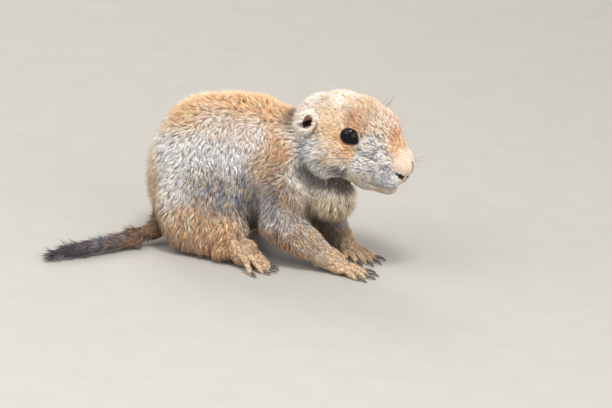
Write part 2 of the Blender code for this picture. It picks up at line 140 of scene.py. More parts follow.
# Both pairs of paws: places and yaws, toes, instep, and the length and radius of the claws.
PAWS = {
    "fore": (FORE_PAWS, FORE_TOES, FORE_INSTEP, (4.6, 0.72)),
    "hind": (HIND_PAWS, HIND_TOES, HIND_INSTEP, (3.6, 0.66)),
}

# Paints of the coat and skin, as they look in daylight.
PAINTS = {
    "snow": (252, 250, 247),
    "silver": (236, 232, 230),
    "ash": (200, 195, 190),
    "blue_grey": (180, 179, 186),
    "slate": (120, 118, 128),
    "charcoal": (58, 56, 62),
    "cream": (242, 224, 194),
    "blush": (240, 216, 200),
    "straw": (232, 202, 158),
    "tan": (218, 178, 134),
    "orange": (220, 158, 102),
    "rust": (188, 126, 82),
    "brown": (132, 98, 74),
    "dark_brown": (58, 42, 34),
    "paw": (208, 174, 134),
    "paw_shade": (152, 116, 84),
    "pad": (222, 194, 158),
    "pink": (226, 176, 166),
    "black": (22, 18, 18),
}

# What the coat is like: depth over the skin, length and width of its hairs, their lift off the skin,
# then its main paint and two more, and the shares of tufts that take those two.
STYLES = {
    "spine": (3.2, 5.2, 0.26, 56, "straw orange cream", 0.45, 0.15),
    "back": (3.3, 5.4, 0.26, 44, "blush snow straw", 0.4, 0.14),
    "rump": (3.3, 5.8, 0.26, 40, "snow silver cream", 0.12, 0.06),
    "hip": (3.3, 5.8, 0.26, 38, "silver snow cream", 0.45, 0.12),
    "flank": (3.3, 5.4, 0.24, 40, "silver ash snow", 0.2, 0.4),
    "slate_flank": (3.3, 5.4, 0.24, 40, "blue_grey slate straw", 0.36, 0.25),
    "fringe": (3.2, 6.2, 0.24, 50, "straw tan cream", 0.4, 0.2),
    "tail_base": (3, 7, 0.27, 22, "brown tan dark_brown", 0.45, 0.2),
    "thigh": (3, 7, 0.26, 22, "tan cream orange", 0.36, 0.18),
    "thigh_front": (3, 7, 0.26, 22, "straw orange rust", 0.4, 0.12),
    "thigh_low": (2.8, 7, 0.26, 20, "tan rust brown", 0.35, 0.24),
    "groin": (3, 7, 0.27, 22, "straw slate cream", 0.3, 0.3),
    # The belly's dark browns are painted shade for the shadow under the body.
    "belly": (3, 6, 0.29, 22, "paw_shade brown tan", 0.4, 0.2),
    "neck_band": (3, 5, 0.24, 36, "orange straw rust", 0.3, 0.15),
    "shoulder": (3, 5.2, 0.24, 30, "tan straw slate", 0.3, 0.2),
    "shoulder_low": (3, 5, 0.24, 30, "slate tan brown", 0.3, 0.3),
    "upper_arm": (2.8, 5, 0.23, 28, "blue_grey cream slate", 0.35, 0.25),
    "arm_front": (2.6, 4.4, 0.23, 28, "ash slate tan", 0.3, 0.35),
    "forearm": (1.9, 3.4, 0.2, 22, "tan ash paw_shade", 0.35, 0.2),
    "elbow": (2.4, 5.4, 0.23, 30, "rust tan dark_brown", 0.35, 0.25),
    # The inner side of the forelegs is painted dark brown and charcoal, mostly as painted shade.
    "inner_arm": (2, 4, 0.23, 22, "dark_brown brown charcoal", 0.4, 0.3),
    "chest": (3.2, 7, 0.27, 20, "cream straw paw_shade", 0.35, 0.15),
    "chest_low": (3.2, 6.5, 0.27, 20, "tan brown straw", 0.35, 0.25),
    "crown": (1.7, 3.4, 0.2, 36, "snow cream tan", 0.35, 0.3),
    "nape": (2.6, 5.2, 0.24, 32, "snow cream blush", 0.4, 0.15),
    "forehead": (1.2, 3, 0.2, 26, "tan rust cream", 0.2, 0.32),
    "temple": (1.3, 3.4, 0.2, 18, "tan straw cream", 0.4, 0.15),
    "eye_patch": (0.5, 2.4, 0.17, 20, "rust brown tan", 0.35, 0.3),
    "under_eye": (0.6, 2.8, 0.2, 16, "orange straw rust", 0.4, 0.1),
    "brow": (0.9, 2.7, 0.2, 22, "cream slate tan", 0.28, 0.3),
    "bridge": (0.8, 2.2, 0.17, 22, "blush tan brown", 0.35, 0.18),
    "nose_root": (0.7, 1.7, 0.17, 18, "tan rust cream", 0.45, 0.15),
    "muzzle": (0.9, 2.9, 0.2, 18, "silver slate cream", 0.28, 0.25),
    "lip": (0.6, 2.3, 0.17, 18, "ash blue_grey snow", 0.35, 0.2),
    "cheek": (1.7, 4.2, 0.22, 18, "cream ash tan", 0.3, 0.3),
    "jowl": (2.6, 5.6, 0.24, 22, "silver snow blue_grey", 0.3, 0.28),
    "smudge": (1.6, 3.6, 0.22, 18, "slate charcoal silver", 0.45, 0.2),
    "throat": (3, 6.5, 0.24, 20, "cream silver straw", 0.4, 0.2),
    "chin": (0.9, 2.2, 0.18, 12, "ash straw silver", 0.4, 0.2),
    "nose": (0.1, 0.9, 0.15, 12, "pad blush snow", 0.35, 0.1),
    "paw": (0.25, 1.6, 0.2, 12, "paw paw_shade cream", 0.3, 0.15),
    "toes": (0.15, 1, 0.17, 8, "paw paw_shade cream", 0.3, 0.12),
    "ear": (0.8, 1.9, 0.17, 26, "snow cream blush", 0.4, 0.12),
    "vent": (1, 1, 0.3, 30, "pink blush pink", 0.3, 0),
    "tail_root": (0.6, 7, 0.24, 2, "brown paw_shade charcoal", 0.3, 0.25),
    "tail": (0.2, 8, 0.24, -7, "charcoal slate brown", 0.3, 0.2),
    "tail_tip": (0.2, 8, 0.24, -8, "charcoal dark_brown slate", 0.3, 0.2),
}

# How closely tufts stand where it isn't the usual.
CROWDING = {"paw": 0.5, "toes": 0.4, "tail_root": 1.6, "tail": 2, "tail_tip": 2}

# Places on the right side of the body and head: style, centre, reach and the way its hairs point.
BODY_PLACES = [
    ("spine", (-23, 0, 70), 10, (-1, 0, 0)),
    ("spine", (-43, -3, 60), 9, (-1, 0, -0.5)),
    ("spine", (-6, -3, 66), 8, (-1, 0, 0.4)),
    ("back", (-28, -14, 61), 7, (0.1, 0, -1)),
    ("back", (-10, -18, 57), 7, (-0.1, 0, -1)),
    ("rump", (-52, -9, 46), 9, (-0.2, 0, -1)),
    ("rump", (-45, -16, 50), 7, (-0.3, 0, -1)),
    ("flank", (-33, -20, 50), 7, (0.2, 0, -1)),
    ("flank", (-18, -22, 48), 7, (0, 0, -1)),
    ("slate_flank", (-32, -26, 37), 7, (0, 0, -1)),
    ("slate_flank", (-22, -26, 31), 7, (-0.2, 0, -1)),
    ("slate_flank", (-12, -22, 36), 6, (-0.2, 0, -1)),
    ("hip", (-46, -23, 32), 8, (-0.3, 0, -1)),
    ("fringe", (-58, 0, 36), 8, (-0.2, 0, -1)),
    ("fringe", (-55, -14, 26), 7, (-0.2, 0, -1)),
    ("tail_base", (-47, -14, 14), 6, (-0.5, 0, -1)),
    ("thigh", (-38, -26, 18), 7, (0, 0, -1)),
    ("thigh", (-30, -27, 17), 7, (0, 0, -1)),
    ("thigh_front", (-20, -28, 17), 6, (-0.1, 0, -1)),
    ("thigh_low", (-27, -27, 6), 7, (0.05, 0, -1)),
    ("thigh_low", (-40, -23, 6), 6, (-0.1, 0, -1)),
    ("groin", (-11, -24, 19), 6, (-0.35, 0, -1)),
    ("belly", (-8, -1, 5), 12, (-1, 0, 0)),
    ("belly", (-30, 0, 3), 12, (-1, 0, 0)),
    ("neck_band", (0, -18, 55), 6, (-0.2, 0, -1)),
    ("neck_band", (4, -10, 64), 5, (-1, 0, -0.2)),
    ("shoulder", (-5, -21, 44), 6, (-1, 0, -0.4)),
    ("throat", (13, -19, 40), 6, (-0.2, 0, -1)),
    ("chest", (18, -20, 30), 7, (-0.1, 0, -1)),
    ("chest", (27, -6, 30), 7, (-0.1, 0, -1)),
    ("chest_low", (21, -12, 20), 6, (-0.2, 0, -1)),
    ("vent", (-50, 1, 3), 2.6, (-0.3, 0, -1)),
]
HEAD_PLACES = [
    ("crown", (-9, -5, 20), 7, (-1, 0, 0.1)),
    ("crown", (-19, -7, 15), 6, (-1, 0, -0.2)),
    ("nape", (-26, -11, 7), 6, (-1, -0.1, -0.3)),
    ("nape", (-24, -14, -1), 5, (-1, 0, -0.4)),
    ("ear", (-17, -14.5, 11.5), 2.6, (-0.9, 0, 0.4)),
    ("ear", (-13, -15, 8), 2.4, (-0.9, 0, 0.6)),
    ("forehead", (1, -6, 20), 6, (-1, 0, 0.2)),
    ("temple", (-9, -14, 13), 5, (-1, 0, 0)),
    ("temple", (-9, -17, 6), 4.5, (-1, 0, -0.2)),
    ("eye_patch", (1.4, -12, 15), 3, (-1, -0.1, 0.3)),
    ("eye_patch", (7, -12, 12.5), 2.8, (-0.7, -0.1, 0.7)),
    ("under_eye", (1.5, -16, 1.4), 3.4, (-1, 0, -0.4)),
    ("brow", (12, -9, 14), 4.4, (-1, -0.1, 0.4)),
    ("bridge", (12, -2, 18.5), 5, (-1, 0, 0.3)),
    ("nose_root", (20.5, -4, 8.5), 3.6, (-1, -0.2, 0.4)),
    ("muzzle", (15, -10.4, 4.8), 4, (-1, -0.3, 0.2)),
    ("muzzle", (14.7, -11.7, -4), 4, (-1, -0.3, -0.25)),
    ("lip", (21.5, -9, -8.4), 3.2, (-1, -0.3, -0.3)),
    ("cheek", (-1, -18.4, -3), 4.6, (-1, 0, -0.5)),
    ("jowl", (-13.5, -17.7, -5), 6, (-0.9, 0, -0.5)),
    ("jowl", (-9, -15, -15.5), 6, (-0.5, 0, -1)),
    ("smudge", (3, -16.5, -9.4), 2.6, (-0.7, 0, -0.7)),
    ("throat", (-2, -7, -20.5), 6, (-0.3, 0, -1)),
    ("chin", (11.5, -9, -12.5), 4, (-0.8, 0, -0.6)),
    ("chin", (17, -2, -17), 4, (-1, 0, -0.3)),
    ("nose", (27.5, -2.4, 2), 3, (-1, 0, 0.2)),
    ("nose", (29.5, -2, -3.4), 2.6, (-1, 0, 0.2)),
]

# Places on a leg: style, number of the joint, offset from it (forward, outward, up), reach and way.
FORE_PLACES = [
    ("shoulder_low", 0, (0, 9, 4), 5, (-0.2, 0, -1)),
    ("upper_arm", 0, (-6, 10, -5), 6, (-0.3, 0, -1)),
    ("arm_front", 0, (7, 9, -5), 5.5, (0.2, 0, -1)),
    ("elbow", 1, (-6, 4, -5), 5, (-0.1, 0, -1)),
    ("elbow", 2, (-4, 2, -5), 5, (0.2, 0, -1)),
    ("forearm", 2, (0, 6, 2), 5.5, (0.5, 0, -0.8)),
    ("forearm", 3, (0, 1, 4), 5, (1, 0, -0.6)),
    ("inner_arm", 3, (-2, -6, 0), 4, (0.5, 0, -1)),
    ("inner_arm", 1, (3, -8, 0), 5, (0.3, 0, -1)),
    ("inner_arm", 2, (0, -6, 0), 5, (0.5, 0, -1)),
]

# A tuft is three blades. Cover is how many times over they hide the skin. An extra tuft stands on an ear
# or a lid, so many to the square millimetre. A bend is a share of a blade's length and its turn upwards.
BLADES = 3
COVER = 5.6
EXTRA_CROWD = 5
BEND = ((0.45, 0.28), (0.55, -0.26))
DEEPEST_ROOT = 0.35
FLOOR_CLEARANCE = 0.25
TUFT_PATCH = 0.003
MOST_BLADES_IN_A_PIECE = 19000
HOLLOW_ROUNDS = 14
BARE_HOLLOW = 0.25
UNDERFOOT, LOWEST_FACING = 4, -0.85


# Frames and simple forms


def frame_at(origin, yaw=0.0, pitch=0.0):
    """A frame with x forward, y to the left and z up, yawed, then pitched nose down."""
    place = Matrix.Translation(Vector(origin) * MM)
    yaw_turn = Matrix.Rotation(math.radians(yaw), 4, "Z")
    pitch_turn = Matrix.Rotation(math.radians(pitch), 4, "Y")
    return place @ yaw_turn @ pitch_turn


BODY = frame_at(CENTRING)
HEAD = BODY @ frame_at(HEAD_AT, HEAD_YAW, HEAD_PITCH)


def heading(yaw):
    """The level direction of a yaw in degrees."""
    return Vector((math.cos(math.radians(yaw)), math.sin(math.radians(yaw)), 0))


def ball(bm, place, centre, radii, yaw=0.0, pitch=0.0, detail=4):
    """Adds an ellipsoid with its own turn in a frame."""
    size = Matrix.Diagonal((*(Vector(radii) * MM), 1.0))
    matrix = place @ frame_at(centre, yaw, pitch) @ size
    bmesh.ops.create_icosphere(bm, subdivisions=detail, radius=1.0, matrix=matrix)


def limb(bm, place, joints, detail=4):
    """Adds a chain of balls joined by cones. A joint is (x, y, z, radius)."""
    for x, y, z, radius in joints:
        ball(bm, place, (x, y, z), (radius, radius, radius), detail=detail)
    for first, second in zip(joints, joints[1:]):
        start = Vector(first[:3]) * MM
        end = Vector(second[:3]) * MM
        along = end - start
        turn = along.to_track_quat("Z", "Y").to_matrix().to_4x4()
        bmesh.ops.create_cone(
            bm,
            cap_ends=True,
            segments=40,
            radius1=first[3] * MM,
            radius2=second[3] * MM,
            depth=along.length,
            matrix=place @ Matrix.Translation((start + end) / 2) @ turn,
        )


def placed(name, data):
    """Puts a mesh, a lamp or a camera into the scene."""
    obj = bpy.data.objects.new(name, data)
    bpy.context.scene.collection.objects.link(obj)
    return obj


def object_from(bm, name):
    """Turns a bmesh into an object of the scene."""
    mesh = bpy.data.meshes.new(name)
    bm.to_mesh(mesh)
    bm.free()
    return placed(name, mesh)


def egg(place, centre, radii, detail=4):
    """An ellipsoid as an object."""
    bm = bmesh.new()
    ball(bm, place, centre, radii, detail=detail)
    return object_from(bm, "egg")


def tube(bm, path, thickness, upwards, sides):
    """Adds a closed round tube along a path, with its own radius at every point."""
    edges = []
    for i, centre in enumerate(path):
        along = (path[min(i + 1, len(path) - 1)] - path[max(i - 1, 0)]).normalized()
        across = along.cross(upwards).normalized()
        lift = across.cross(along)
        ring = bmesh.ops.create_circle(bm, segments=sides, radius=MM)["verts"]
        for vert in ring:
            vert.co = centre + across * vert.co.x * thickness[i] + lift * vert.co.y * thickness[i]
        edges.append(list({edge for vert in ring for edge in vert.link_edges}))
    for first, second in zip(edges, edges[1:]):
        bmesh.ops.bridge_loops(bm, edges=first + second)
    for end in (edges[0], edges[-1]):
        bmesh.ops.edgeloop_fill(bm, edges=end)
    bmesh.ops.recalc_face_normals(bm, faces=bm.faces)


# Fusing and cutting


def freeze(obj):
    """Applies every modifier of an object."""
    graph = bpy.context.evaluated_depsgraph_get()
    mesh = bpy.data.meshes.new_from_object(obj.evaluated_get(graph))
    obj.modifiers.clear()
    obj.data = mesh
    return obj


def fuse(obj, voxel, rounds):
    """Fuses overlapping forms into one skin and smooths its creases."""
    remesh = obj.modifiers.new("fuse", "REMESH")
    remesh.mode = "VOXEL"
    remesh.voxel_size = voxel * MM
    smooth = obj.modifiers.new("smooth", "SMOOTH")
    smooth.factor = 0.5
    smooth.iterations = rounds
    return freeze(obj)


def combine(obj, other, operation="DIFFERENCE"):
    """Applies a Boolean with a second closed object, which is then removed."""
    boolean = obj.modifiers.new("combine", "BOOLEAN")
    boolean.operation = operation
    boolean.solver = "MANIFOLD"
    boolean.object = other
    freeze(obj)
    bpy.data.objects.remove(other)


def finish_mesh(obj, material):
    """Smooth shading, and the material."""
    for polygon in obj.data.polygons:
        polygon.use_smooth = True
    obj.data.materials.clear()
    obj.data.materials.append(material)
    return obj


# The skin

# Rump, back, shoulders, belly, chest and neck as balls with centre, radii, yaw and pitch. The spine
# curves a little to the right.
TRUNK = [
    ((-30, 2, 34), (27, 25, 35), 0, 0),
    ((-21, 1.5, 37), (27, 25, 33.5), -3, 0),
    ((-12, 1, 39), (25, 24, 31.5), -6, 0),
    ((1, -1, 44), (19, 20, 23), -12, 0),
    ((-8, 0, 29), (24, 20, 19), -8, 0),
    ((12, -2, 32), (16, 18, 17), -15, 20),
    ((20, -6, 31.5), (12.5, 15, 14), -15, 30),
    ((24.5, -8.5, 29.5), (12.6, 13, 12), -20, 10),
    ((12, -4, 51), (14, 17, 17), -18, 10),
]

# Cranium, brow, muzzle and chin on the head's midline, in the head's own frame.
HEAD_MIDDLE = [
    ((-7, 0, 4.2), (17.4, 17, 16.2), 0, 0),
    ((0, 0, 5.4), (16.6, 15.4, 16), 0, 0),
    ((6.5, 0, 6), (14.4, 13.4, 14), 0, 0),
    ((12.5, 0, 1.5), (14.5, 10, 10.8), 0, 14),
    ((17, 0, 0), (12.2, 8.4, 9), 0, 8),
    ((24.1, 0, -1.7), (5.9, 5.1, 5.7), 0, 0),
    ((8, 0, -9.5), (17, 11, 9.7), 0, 0),
    ((18, 0, -13.4), (7.6, 5.6, 4.5), 0, 0),
    ((-17, 0, 1), (13, 16, 15), 0, 0),
]

# Eyebrow, lip pad and cheeks of the left side, each with its yaw.
HEAD_SIDE = [
    ((5, 6.5, 10), (9, 6, 7), 0),
    ((17.8, 4.6, -7.8), (10, 5.3, 5.4), -6),
    ((8, 6.5, -5), (13, 7.5, 8.6), -14),
    ((0, 8.4, -5), (13.5, 9, 11.6), -4),
    ((-7, 9.6, -5), (14, 9.8, 13.4), 8),
]


def add_trunk_and_legs(bm):
    for centre, radii, yaw, pitch in TRUNK:
        ball(bm, BODY, centre, radii, yaw, pitch)
    for side in SIDES:
        ball(bm, BODY, THIGHS[side], THIGH_RADII, yaw=-side * 6, pitch=12)
        limb(bm, BODY, FORE_JOINTS[side])
        limb(bm, BODY, HIND_JOINTS[side])


def add_head(bm):
    for centre, radii, yaw, pitch in HEAD_MIDDLE:
        ball(bm, HEAD, centre, radii, yaw, pitch)
    for side in SIDES:
        for (x, y, z), radii, yaw in HEAD_SIDE:
            ball(bm, HEAD, (x, side * y, z), radii, side * yaw)


def body_form():
    """The body without paws, ears and eyes, out to the coat's surface."""
    bm = bmesh.new()
    add_trunk_and_legs(bm)
    limb(bm, BODY, TAIL_JOINTS[:4])
    body = fuse(object_from(bm, "skin"), voxel=1.2, rounds=26)
    bm = bmesh.new()
    bm.from_mesh(body.data)
    add_head(bm)
    bm.to_mesh(body.data)
    bm.free()
    if FINE:
        return fuse(body, voxel=0.75, rounds=24)
    return fuse(body, voxel=1, rounds=14)


def toes_of(end, side):
    """Every toe of a paw: side offset, yaw, length, radius, root and tip."""
    _, toes, instep, _ = PAWS[end]
    reach, _, height, _ = instep[-1]
    for offset, yaw, length, thick in toes:
        root = Vector((reach - 1, offset * side * 0.85, height * 0.85))
        tip = root + heading(yaw * side) * (length + 2)
        tip.z = thick * 0.6
        yield offset * side, yaw * side, length, thick, root, tip


def paw_form(end, side):
    """A paw with ridged bones over its instep, knuckles and toe tips."""
    paws, _, instep, _ = PAWS[end]
    place = BODY @ frame_at(*paws[side])
    bm = bmesh.new()
    wrist, middle, front = instep
    limb(bm, place, [(*wrist[:3], wrist[3] - 1.5), (*middle[:3], middle[3] - 0.5), front])
    reach, _, height, radius = front
    ball(bm, place, (reach - 1, 0, height * 0.8), (radius * 1.5, radius * 1.4, height * 0.72), pitch=8)
    for offset, yaw, length, thick, root, tip in toes_of(end, side):
        knuckle = root + heading(yaw) * length * 0.6
        knuckle.z = 0.8 + height * 0.62
        bone = (middle[0], offset * 0.5, middle[2] + middle[3] - 1.5, thick * 0.9)
        chain = [bone, (*root, thick), (*knuckle, thick * 0.92), (*tip, thick * 0.74)]
        limb(bm, place, chain, detail=3)
    return fuse(object_from(bm, "paw"), voxel=0.42, rounds=3)


def tail_form():
    """The slender end of the tail's flesh."""
    bm = bmesh.new()
    limb(bm, BODY, TAIL_JOINTS[2:])
    return fuse(object_from(bm, "tail_end"), voxel=0.5, rounds=4)


# A nostril as points (x, y, z, radius) in the head's frame, on the left.
NOSTRIL = [
    (23.4, 5.4, -3.8, 0.4),
    (24.6, 4.8, -4.6, 0.85),
    (26.1, 3.9, -5.4, 1.1),
    (27.4, 2.7, -6.2, 1),
    (28.4, 1.4, -6.9, 0.6),
]


def nostril(side):
    """A comma-shaped hollow between the nose and the lip pad."""
    path = [HEAD @ (Vector((x, side * y, z)) * MM) for x, y, z, _ in NOSTRIL]
    bm = bmesh.new()
    tube(bm, path, [radius for *_, radius in NOSTRIL], HEAD.to_3x3() @ UP, sides=16)
    return object_from(bm, "nostril")


def mouth_slit():
    """A thin disc that parts the lips from the chin."""
    bm = bmesh.new()
    place = HEAD @ frame_at((20.6, 0, -12.3), pitch=5)
    size = {"radius1": 8.6 * MM, "radius2": 8.6 * MM, "depth": 0.5 * MM}
    bmesh.ops.create_cone(bm, cap_ends=True, segments=64, matrix=place, **size)
    return object_from(bm, "mouth")


def lip_cleft():
    """The groove from the nose down to the mouth."""
    bm = bmesh.new()
    size = Matrix.Diagonal((7 * MM, 0.5 * MM, 6.4 * MM, 1))
    bmesh.ops.create_cube(bm, size=1, matrix=HEAD @ frame_at((28.6, 0, -10)) @ size)
    return object_from(bm, "cleft")


def eye_corner(side):
    """The narrow corner of the eye, low in front."""
    place = eye_frame(side) @ frame_at((3.5, side * 1.55, 3.3), side * LID_CORNER)
    return egg(place, (0, 0, 0), (2, 0.9, 1.5))


def make_skin():
    """One closed skin for all the flesh, sunk by the depth of the coat."""
    skin = body_form()
    points = read(skin.data.vertices, "co", 3)
    normals = read(skin.data.vertices, "normal", 3)
    depth = coat_at(points)["depth"] * MM
    skin.data.vertices.foreach_set("co", (points - normals * depth[:, None]).ravel())
    for side in SIDES:
        for end in PAWS:
            combine(skin, paw_form(end, side), "UNION")
    combine(skin, tail_form(), "UNION")
    for side in SIDES:
        combine(skin, egg(eye_frame(side), (0, 0, 0), [EYE_RADIUS + SOCKET_GAP] * 3))
        combine(skin, eye_corner(side))
        combine(skin, nostril(side))
    combine(skin, mouth_slit())
    combine(skin, lip_cleft())
    stand_on_floor(skin)
    bm = bmesh.new()
    bm.from_mesh(skin.data)
    bmesh.ops.triangulate(bm, faces=bm.faces)
    bm.to_mesh(skin.data)
    bm.free()
    unwrap(skin)
    return skin


def stand_on_floor(skin):
    """Flattens what would reach below the floor."""
    points = read(skin.data.vertices, "co", 3)
    points[:, 2] = np.maximum(points[:, 2], 0.02 * MM)
    skin.data.vertices.foreach_set("co", points.ravel())
    skin.data.update()


def unwrap(skin):
    """Unfolds the skin into a flat map of its own shape."""
    bpy.context.view_layer.objects.active = skin
    skin.select_set(True)
    bpy.ops.object.mode_set(mode="EDIT")
    bpy.ops.mesh.select_all(action="SELECT")
    bpy.ops.uv.smart_project(angle_limit=math.radians(70), island_margin=0.002)
    bpy.ops.object.mode_set(mode="OBJECT")
    skin.select_set(False)
    skin.data.uv_layers[0].name = "OFBake"


# Reading meshes and places as arrays


def read(items, name, width, kind=float):
    """One property of all vertices, loops or triangles, as rows."""
    values = np.empty(len(items) * width, kind)
    items.foreach_get(name, values)
    return values.reshape(-1, width) if width > 1 else values


def linear(paint):
    """A named paint as linear light."""
    return (np.array(PAINTS[paint]) / 255) ** 2.2


def mixed(first, second, share):
    """Blends two rows of paints, with the share held between 0 and 1."""
    return first + (second - first) * np.clip(share, 0, 1)


def unit(vectors):
    return vectors / np.maximum(np.linalg.norm(vectors, axis=1), 1e-12)[:, None]


def all_places():
    """Every place of the coat on both sides, as (style, centre, reach, way) in the scene."""
    places = []
    for side in SIDES:
        for style, (x, y, z), reach, way in BODY_PLACES:
            centre = Vector((x, y if side == RIGHT else 2 * MIDLINE - y, z))
            places.append((style, BODY @ (centre * MM), reach, Vector(way)))
        for style, (x, y, z), reach, (forward, out, rise) in HEAD_PLACES:
            way = HEAD.to_3x3() @ Vector((forward, -side * out, rise))
            places.append((style, HEAD @ (Vector((x, -side * y, z)) * MM), reach, way))
        for style, joint, (forward, out, rise), reach, way in FORE_PLACES:
            centre = Vector(FORE_JOINTS[side][joint][:3]) + Vector((forward, side * out, rise))
            places.append((style, BODY @ (centre * MM), reach, Vector(way)))
        for paws, length in ((FORE_PAWS, 4), (HIND_PAWS, 7)):
            place = BODY @ frame_at(*paws[side])
            way = heading(paws[side][1]) - UP * 0.4
            for style, ahead, height, reach in (("paw", 0, 5, 5), ("toes", 7, 2, 6), ("toes", 12, 1, 5)):
                places.append((style, place @ (Vector((length + ahead, 0, height)) * MM), reach, way))
    styles = ["tail_root", "tail_root", "tail", "tail", "tail_tip", "tail_tip"]
    for i, style in enumerate(styles, 1):
        last = min(i, len(TAIL_JOINTS) - 2)
        way = Vector(TAIL_JOINTS[last + 1][:3]) - Vector(TAIL_JOINTS[last][:3])
        places.append((style, BODY @ (Vector(TAIL_JOINTS[i][:3]) * MM), 5, way.normalized()))
    return places


def style_row(style):
    depth, length, width, lift, paints, second, third = STYLES[style]
    numbers = [depth, length, width, lift, second, third, CROWDING.get(style, 1)]
    return np.concatenate([numbers, *(linear(paint) for paint in paints.split())])


PLACES = all_places()
PLACE_CENTRES = np.array([centre for _, centre, *_ in PLACES])
PLACE_REACHES = np.array([reach * MM for *_, reach, _ in PLACES])
PLACE_WAYS = unit(np.array([way for *_, way in PLACES]))
PLACE_ROWS = np.array([style_row(style) for style, *_ in PLACES])


def coat_at(points):
    """The coat at some points: the places near them, blended by how near they are."""
    nearness = np.empty((len(points), len(PLACES)))
    for i, (centre, reach) in enumerate(zip(PLACE_CENTRES, PLACE_REACHES)):
        nearness[:, i] = -((points - centre) ** 2).sum(1) / reach**2
    weight = np.exp(nearness - nearness.max(1)[:, None])
    weight /= weight.sum(1)[:, None]
    rows = weight @ PLACE_ROWS
    return {
        "depth": rows[:, 0],
        "length": rows[:, 1],
        "width": rows[:, 2],
        "lift": rows[:, 3],
        "shares": rows[:, 4:6],
        "crowd": rows[:, 6],
        "paints": rows[:, 7:].reshape(-1, 3, 3),
        "way": unit(weight @ PLACE_WAYS),
        "nearest": weight.argmax(1),
    }


def hollows(mesh):
    """How deep each vertex of the skin lies between others, as between two toes, from 0 to 1.4."""
    points = read(mesh.vertices, "co", 3)
    edges = read(mesh.edges, "vertices", 2, np.int32)
    here, there = np.concatenate([edges, edges[:, ::-1]]).T
    links = np.maximum(np.bincount(here, minlength=len(points)), 1)
    smooth = points
    for _ in range(HOLLOW_ROUNDS):
        total = [np.bincount(here, smooth[there, axis], len(points)) for axis in range(3)]
        smooth = np.stack(total, axis=1) / links[:, None]
    rise = ((smooth - points) * read(mesh.vertices, "normal", 3)).sum(1) / MM
    return np.clip((rise - 0.06) * 2.4, 0, 1.4)


def mottle(points, scale, seed):
    """Soft noise from -1 to 1 at some points. Scale is the size of its patches in millimetres."""
    shift = Vector((seed * 7.1, seed * 3.7, seed * 5.3))
    return np.array([noise.noise(Vector(point) / (scale * MM) + shift) for point in points])


# The coat


def eye_frame(side):
    """A frame at the eye's centre: x forwards, z outwards, and y up on the right, down on the left."""
    low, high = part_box("eye_" + SIDE_NAMES[side])
    turn = HEAD.to_3x3()
    outwards = (turn @ Vector((EYE_AXIS[0], side * EYE_AXIS[1], EYE_AXIS[2]))).normalized()
    forwards = turn @ Vector((1, 0, 0))
    forwards = (forwards - outwards * forwards.dot(outwards)).normalized()
    axes = Matrix((forwards, outwards.cross(forwards), outwards)).transposed().to_4x4()
    return Matrix.Translation((low + high) / 2) @ axes


def lid_angle(turn):
    """Half the eye's opening in degrees: an almond with its point low in front."""
    off = np.remainder(turn + math.radians(LID_CORNER) + math.pi, math.tau) - math.pi
    return EYE_OPENING + EYE_POINT * np.exp(-((off / POINT_WIDTH) ** 2)) + 2 * np.cos(2 * turn)


def round_the_eye(points, side):
    """Where points lie round the eye: their turn, their degrees off its axis and their distance."""
    turn = np.array(eye_frame(side).inverted())
    local = points @ turn[:3, :3].T + turn[:3, 3]
    across = np.hypot(local[:, 0], local[:, 1])
    around = np.arctan2(-side * local[:, 1], local[:, 0])
    return around, np.degrees(np.arctan2(across, local[:, 2])), np.linalg.norm(local, axis=1)


def over_the_eye(points, side):
    """Which points lie over the open eye."""
    around, angle, distance = round_the_eye(points, side)
    open_part = (angle < lid_angle(around) + 2) & (distance < 11 * MM)
    return open_part | (distance < (EYE_RADIUS - 0.5) * MM)


def triangles_of(mesh):
    """A mesh's triangles: their corner points, crossed sides and areas in square millimetres."""
    mesh.calc_loop_triangles()
    corners = read(mesh.vertices, "co", 3)[read(mesh.loop_triangles, "vertices", 3, np.int32)]
    crossed = np.cross(corners[:, 1] - corners[:, 0], corners[:, 2] - corners[:, 0])
    return corners, crossed, np.linalg.norm(crossed, axis=1) / 2 / MM**2


def joined(rows):
    """Several sets of named arrays as one."""
    return {key: np.concatenate([row[key] for row in rows]) for key in rows[0]}


def scatter(mesh, rng):
    """Tufts spread over the skin as closely as their size asks."""
    points, _, area = triangles_of(mesh)
    corners = read(mesh.loop_triangles, "vertices", 3, np.int32)
    loops = read(mesh.loop_triangles, "loops", 3, np.int32)
    normals = read(mesh.vertices, "normal", 3)
    flat = read(mesh.uv_layers["OFBake"].data, "uv", 2)
    coat = coat_at(points.mean(1))
    crowd = coat["crowd"] * COVER / (BLADES * coat["width"] * coat["length"])
    count = np.floor(area * crowd + rng.random(len(area))).astype(int)
    face = np.repeat(np.arange(len(area)), count)
    first, second = rng.random(len(face)), rng.random(len(face))
    fold = first + second > 1
    first[fold], second[fold] = 1 - first[fold], 1 - second[fold]
    shares = np.stack([1 - first - second, first, second], axis=1)[:, :, None]
    return {
        "root": (points[face] * shares).sum(1),
        "outwards": unit((normals[corners[face]] * shares).sum(1)),
        "flat": (flat[loops[face]] * shares).sum(1),
        "hollow": (hollows(mesh)[corners[face]] * shares[:, :, 0]).sum(1),
        "extra": np.zeros(len(face), bool),
    }


def turned(vectors, axes, angles):
    """Vectors turned about axes that they stand square to."""
    return vectors * np.cos(angles)[:, None] + np.cross(axes, vectors) * np.sin(angles)[:, None]


def pick_paint(coat, chance, patch):
    """The paint of each tuft: the main one of its place or one of the other two."""
    second = coat["shares"][:, 0] * (1 + 0.8 * patch)
    third = coat["shares"][:, 1] * (1 - 0.8 * patch)
    which = np.where(chance < second, 1, np.where(chance > 1 - third, 2, 0))
    return coat["paints"][np.arange(len(chance)), which]


